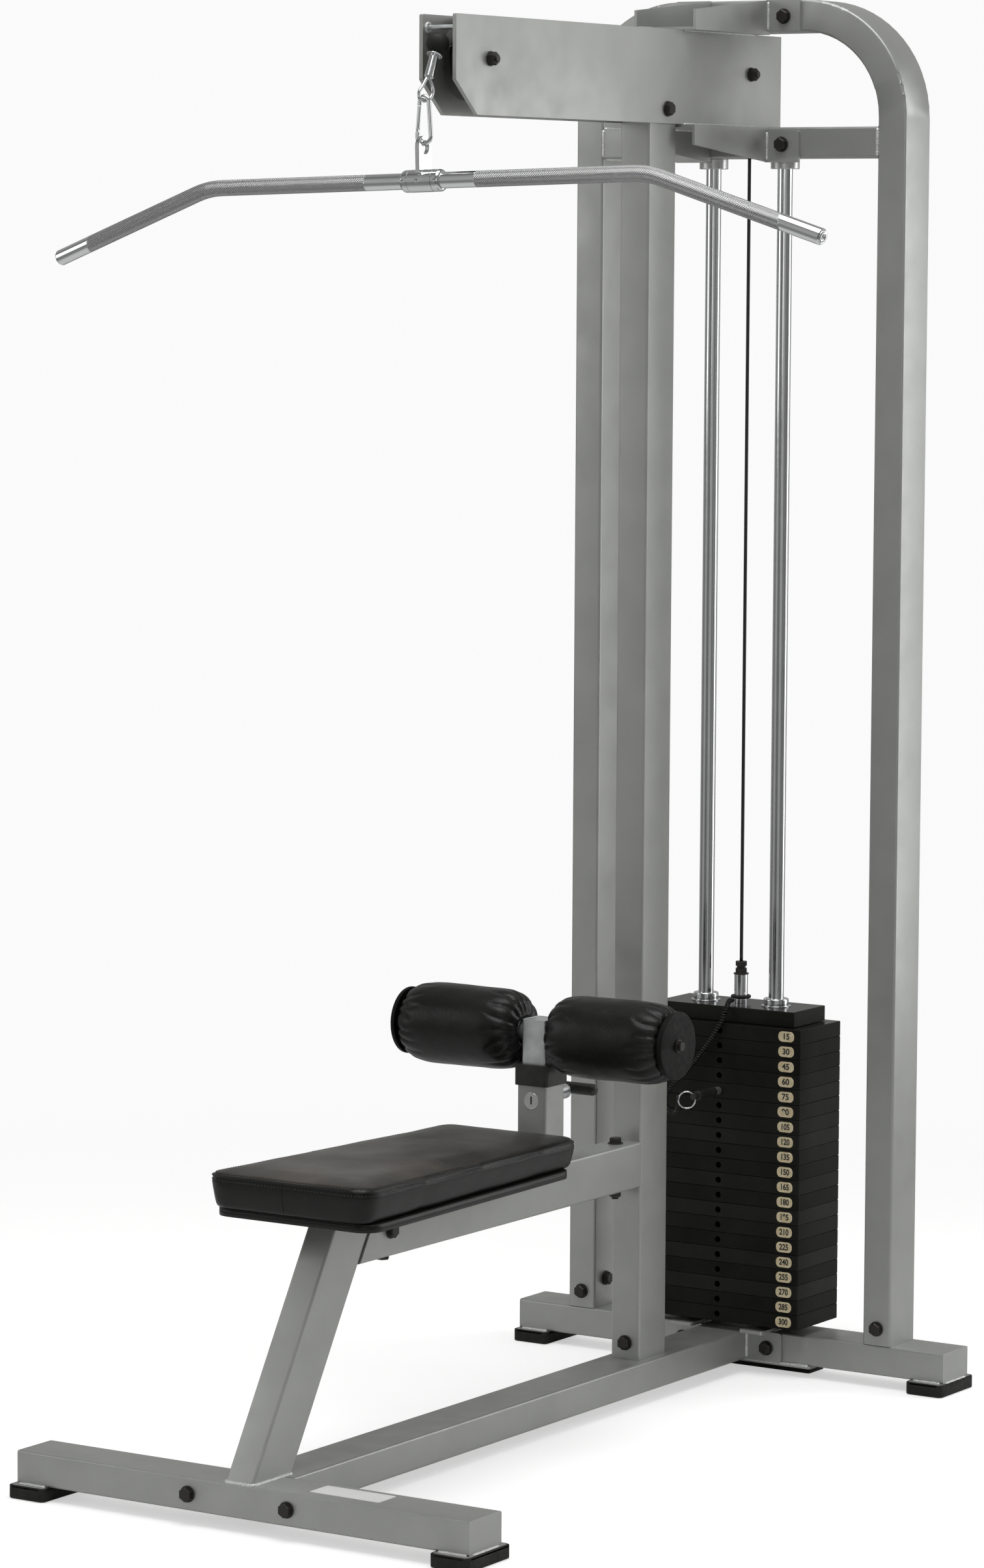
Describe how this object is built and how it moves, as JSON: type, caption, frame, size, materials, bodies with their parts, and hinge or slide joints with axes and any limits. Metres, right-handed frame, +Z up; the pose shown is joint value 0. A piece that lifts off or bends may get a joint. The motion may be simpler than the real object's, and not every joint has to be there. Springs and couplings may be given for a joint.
{
  "type": "lat pulldown machine",
  "caption": "Seated cable pulldown machine: angled wide bar over a padded bench and thigh rollers, cable over a boom to a pin-selected weight stack in a tall hoop frame.",
  "frame": {"origin": "on the floor under the centre of the machine's bounding box", "axes": "+Z up, +X to the right of a person seated at the machine, +Y from the seat towards the weight stack"},
  "size_m": [1.3887, 1.542, 2.2945],
  "materials": {
    "frame_paint": "satin metallic powder coat, slightly warm silver grey",
    "black_paint": "semi-gloss black",
    "stack_paint": "black, shiny top faces",
    "black_bolt": "black oxide",
    "chrome": "polished",
    "zinc": "zinc plated",
    "vinyl": "black upholstery vinyl, soft sheen",
    "board": "black painted board",
    "rubber": "matte",
    "black_plastic": "moulded black nylon",
    "cable_jacket": "black coated steel cable",
    "bright_bushing": "light moulded bushing"
  },
  "bodies": {
    "frame": {"front_crosstube": "frame_paint", "seat_leg": "frame_paint", "base_rail": "frame_paint", "rear_crosstube": "frame_paint", "rubber_feet": "rubber", "front_upright": "frame_paint", "rear_hoop": "frame_paint", "hoop_crossbar": "frame_paint", "left_boom_plate": "frame_paint", "right_boom_plate": "frame_paint", "upper_boom_bracket": "frame_paint", "lower_boom_bracket": "frame_paint", "keeper_rod": "zinc", "seat_beam": "frame_paint", "pad_post": "frame_paint", "post_collar": "black_plastic", "seat_board": "board", "seat_cushion": "vinyl", "guide_rods": "chrome", "rod_top_collars": "black_paint", "rod_support_bars": "frame_paint", "stack_bumpers": "rubber", "resting_weight_plates": "stack_paint", "frame_bolts": "black_bolt", "frame_nuts": "black_bolt", "pulley_axles": "black_bolt", "cable_top_run": "cable_jacket", "pop_pin_barrel": "black_bolt", "pop_pin_spring": "zinc"},
    "weight_stack": {"head_plate": "stack_paint", "head_bushings": "bright_bushing", "selector_stem": "zinc", "stem_sleeve": "chrome", "stem_nuts": "black_bolt", "lifted_weight_plates": "stack_paint", "lanyard_ring": "rubber", "rear_cable_drop": "cable_jacket"},
    "weight_pin": {"selector_pin": "zinc", "selector_pin_grip": "black_plastic", "key_ring": "chrome", "pin_lanyard": "rubber"},
    "cable_end": {"cable_stop_ball": "rubber", "cable_end_fitting": "chrome", "carabiner_body": "chrome", "front_cable_drop": "cable_jacket"},
    "gate": {"carabiner_gate": "chrome"},
    "hanger": {"bar_hanger": "chrome"},
    "pull_bar": {"lat_bar": "chrome", "bar_collars": "chrome"},
    "front_sheave": {"front_pulley_wheel": "black_plastic"},
    "rear_sheave": {"rear_pulley_wheel": "black_plastic"},
    "pad_carrier": {"adjust_tube": "zinc", "pad_axle": "zinc", "pad_end_discs": "black_plastic", "pad_axle_bolts": "black_bolt"},
    "left_pad": {"left_thigh_pad": "vinyl"},
    "right_pad": {"right_thigh_pad": "vinyl"},
    "pull_pin": {"pop_pin_plunger": "zinc", "pop_pin_grip": "black_plastic"}
  },
  "joints": [
    {"name": "stack_lift", "type": "slide", "parent": "frame", "child": "weight_stack", "axis": [0, 0, 1], "range_m": [0, 0.95], "deforming": ["rear_cable_drop"]},
    {"name": "pin_pull", "type": "slide", "parent": "weight_stack", "child": "weight_pin", "axis": [0, -1, 0], "range_m": [0, 0.11], "deforming": ["pin_lanyard"]},
    {"name": "bar_pull", "type": "slide", "parent": "frame", "child": "cable_end", "axis": [0, 0, -1], "range_m": [0, 0.95], "deforming": ["front_cable_drop"]},
    {"name": "gate_open", "type": "hinge", "parent": "cable_end", "child": "gate", "pos_m": [-0.01152, -0.275, 2.06197], "axis": [0, 1, 0], "range_deg": [0, 16], "stiffness_Nm_per_rad": 0.02},
    {"name": "hanger_swing", "type": "hinge", "parent": "cable_end", "child": "hanger", "pos_m": [0, -0.275, 2.0408], "axis": [1, 0, 0], "range_deg": [-30, 30]},
    {"name": "bar_spin", "type": "hinge", "parent": "hanger", "child": "pull_bar", "pos_m": [0, -0.275, 1.985], "axis": [0.9996, 0, 0.027], "continuous": true},
    {"name": "front_sheave_spin", "type": "hinge", "parent": "frame", "child": "front_sheave", "pos_m": [0, -0.144, 2.172], "axis": [1, 0, 0], "continuous": true},
    {"name": "rear_sheave_spin", "type": "hinge", "parent": "frame", "child": "rear_sheave", "pos_m": [0, 0.645, 2.172], "axis": [1, 0, 0], "continuous": true},
    {"name": "pad_height", "type": "slide", "parent": "frame", "child": "pad_carrier", "axis": [0, 0, 1], "range_m": [0, 0.125]},
    {"name": "left_pad_spin", "type": "hinge", "parent": "pad_carrier", "child": "left_pad", "pos_m": [0, 0.072, 0.644], "axis": [1, 0, 0], "continuous": true},
    {"name": "right_pad_spin", "type": "hinge", "parent": "pad_carrier", "child": "right_pad", "pos_m": [0, 0.072, 0.644], "axis": [1, 0, 0], "continuous": true},
    {"name": "pull_pin_release", "type": "slide", "parent": "frame", "child": "pull_pin", "axis": [0, 1, 0], "range_m": [0, 0.012], "stiffness_N_per_m": 600, "deforming": ["pop_pin_spring"]}
  ],
  "couplings": [
    {"joint": "bar_pull", "follows": "stack_lift", "ratio": 1},
    {"joint": "front_sheave_spin", "follows": "stack_lift", "rad_per_m": 17.857},
    {"joint": "rear_sheave_spin", "follows": "stack_lift", "rad_per_m": 17.857}
  ]
}
